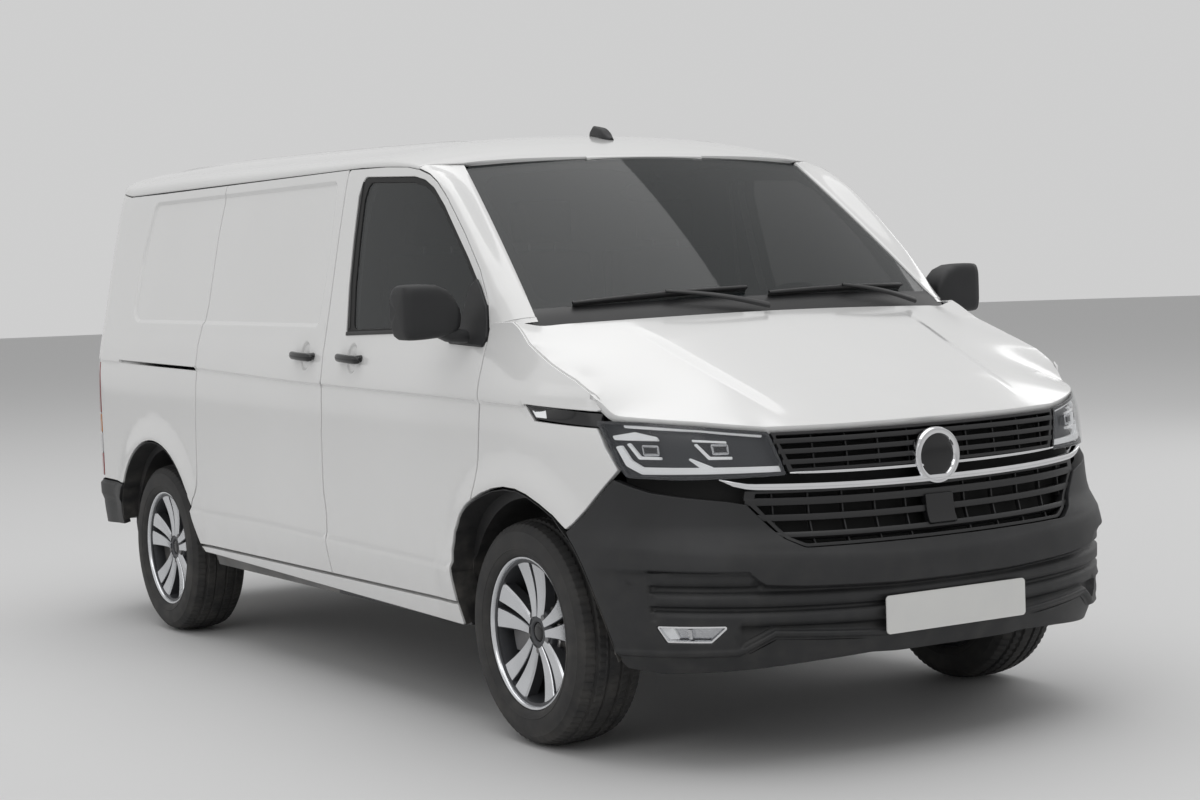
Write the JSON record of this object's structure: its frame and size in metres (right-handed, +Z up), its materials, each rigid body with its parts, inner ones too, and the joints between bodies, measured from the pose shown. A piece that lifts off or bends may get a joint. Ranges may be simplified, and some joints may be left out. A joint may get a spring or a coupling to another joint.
{
  "type": "panel van",
  "caption": "Mid-size short-wheelbase panel van with a sloping bonnet, hollow cab and load space, hinged front and rear doors, a closed sliding door and steered front wheels.",
  "frame": {"origin": "on the ground, at the middle of the van's length and width", "axes": "+X forwards, +Y to the van's left, +Z up"},
  "size_m": [4.904, 2.296, 1.961],
  "materials": {
    "body_paint": "gloss white lacquer",
    "bumper_plastic": "grained dark grey moulding",
    "grille_plastic": "satin black moulding",
    "chrome_trim": "polished",
    "lamp_lens": "clear lens",
    "tail_lens": "ribbed red lens",
    "window_glass": "lightly tinted glass",
    "plate_white": "reflective white, blank",
    "grey_panel": "satin grey paint",
    "cab_plastic": "fine grained moulding",
    "seat_fabric": "woven dark grey cloth",
    "cast_metal": "cast and machined",
    "black_steel": "black chassis paint",
    "exhaust_steel": "aluminised steel",
    "tyre_rubber": "matt tread, satin sidewall",
    "rim_alloy": "machined face with dark pockets",
    "underbody_paint": "sealed and painted sheet"
  },
  "bodies": {
    "van_body": {"floor_pan": "underbody_paint", "cab_floor": "underbody_paint", "rear_housings": "underbody_paint", "front_structure": "underbody_paint", "side_frames": "body_paint", "roof": "body_paint", "side_panel_left": "body_paint", "side_panel_right": "body_paint", "fenders": "body_paint", "front_bumper": "bumper_plastic", "grille": "grille_plastic", "emblem_disc": "chrome_trim", "headlamps": "lamp_lens", "windscreen": "window_glass", "sliding_door": "body_paint", "front_plate": "plate_white", "rear_bumper": "bumper_plastic", "tail_lamps": "tail_lens", "partition": "grey_panel", "dashboard": "cab_plastic", "driver_seat": "seat_fabric", "passenger_bench": "seat_fabric", "engine_block": "cast_metal", "front_subframe": "black_steel", "rear_suspension": "black_steel", "wipers": "bumper_plastic", "roof_antenna": "bumper_plastic", "exhaust": "exhaust_steel"},
    "bonnet": {"bonnet": "body_paint"},
    "front_door_left": {"front_door_left": "body_paint", "door_glass_left": "window_glass", "mirror_left": "bumper_plastic"},
    "front_door_right": {"front_door_right": "body_paint", "door_glass_right": "window_glass", "mirror_right": "bumper_plastic"},
    "rear_door_left": {"rear_door_left": "body_paint"},
    "rear_door_right": {"rear_door_right": "body_paint"},
    "steering_wheel": {"steering_wheel": "cab_plastic"},
    "knuckle_left": {"knuckle_left": "black_steel"},
    "knuckle_right": {"knuckle_right": "black_steel"},
    "wheel_front_left": {"tyre_front_left": "tyre_rubber", "rim_front_left": "rim_alloy"},
    "wheel_front_right": {"tyre_front_right": "tyre_rubber", "rim_front_right": "rim_alloy"},
    "wheel_rear_left": {"tyre_rear_left": "tyre_rubber", "rim_rear_left": "rim_alloy"},
    "wheel_rear_right": {"tyre_rear_right": "tyre_rubber", "rim_rear_right": "rim_alloy"}
  },
  "joints": [
    {"name": "steering", "type": "hinge", "parent": "van_body", "child": "knuckle_left", "pos_m": [1.544, 0.752, 0.345], "axis": [0, 0, 1], "range_deg": [-35, 35]},
    {"name": "steering_right", "type": "hinge", "parent": "van_body", "child": "knuckle_right", "pos_m": [1.544, -0.752, 0.345], "axis": [0, 0, 1], "range_deg": [-35, 35]},
    {"name": "steering_wheel_turn", "type": "hinge", "parent": "van_body", "child": "steering_wheel", "pos_m": [1.047, 0.44, 1.196], "axis": [-0.8829, 0, 0.4695], "range_deg": [-526, 526]},
    {"name": "front_left_wheel_spin", "type": "hinge", "parent": "knuckle_left", "child": "wheel_front_left", "pos_m": [1.544, 0.814, 0.345], "axis": [0, 1, 0], "continuous": true},
    {"name": "front_right_wheel_spin", "type": "hinge", "parent": "knuckle_right", "child": "wheel_front_right", "pos_m": [1.544, -0.814, 0.345], "axis": [0, 1, 0], "continuous": true},
    {"name": "rear_left_wheel_spin", "type": "hinge", "parent": "van_body", "child": "wheel_rear_left", "pos_m": [-1.456, 0.814, 0.345], "axis": [0, 1, 0], "continuous": true},
    {"name": "rear_right_wheel_spin", "type": "hinge", "parent": "van_body", "child": "wheel_rear_right", "pos_m": [-1.456, -0.814, 0.345], "axis": [0, 1, 0], "continuous": true},
    {"name": "front_door_left_hinge", "type": "hinge", "parent": "van_body", "child": "front_door_left", "pos_m": [1.343, 0.952, 0.8], "axis": [0, 0, -1], "range_deg": [0, 65]},
    {"name": "front_door_right_hinge", "type": "hinge", "parent": "van_body", "child": "front_door_right", "pos_m": [1.343, -0.952, 0.8], "axis": [0, 0, 1], "range_deg": [0, 65]},
    {"name": "rear_door_left_hinge", "type": "hinge", "parent": "van_body", "child": "rear_door_left", "pos_m": [-2.366, 0.736, 1.2], "axis": [0, 0, -1], "range_deg": [0, 90]},
    {"name": "rear_door_right_hinge", "type": "hinge", "parent": "van_body", "child": "rear_door_right", "pos_m": [-2.366, -0.736, 1.2], "axis": [0, 0, 1], "range_deg": [0, 90]},
    {"name": "bonnet_hinge", "type": "hinge", "parent": "van_body", "child": "bonnet", "pos_m": [1.445, 0, 1.31], "axis": [0, -1, 0], "range_deg": [0, 50]}
  ],
  "couplings": [
    {"joint": "steering_right", "follows": "steering", "ratio": 1},
    {"joint": "steering_wheel_turn", "follows": "steering", "ratio": 15}
  ]
}
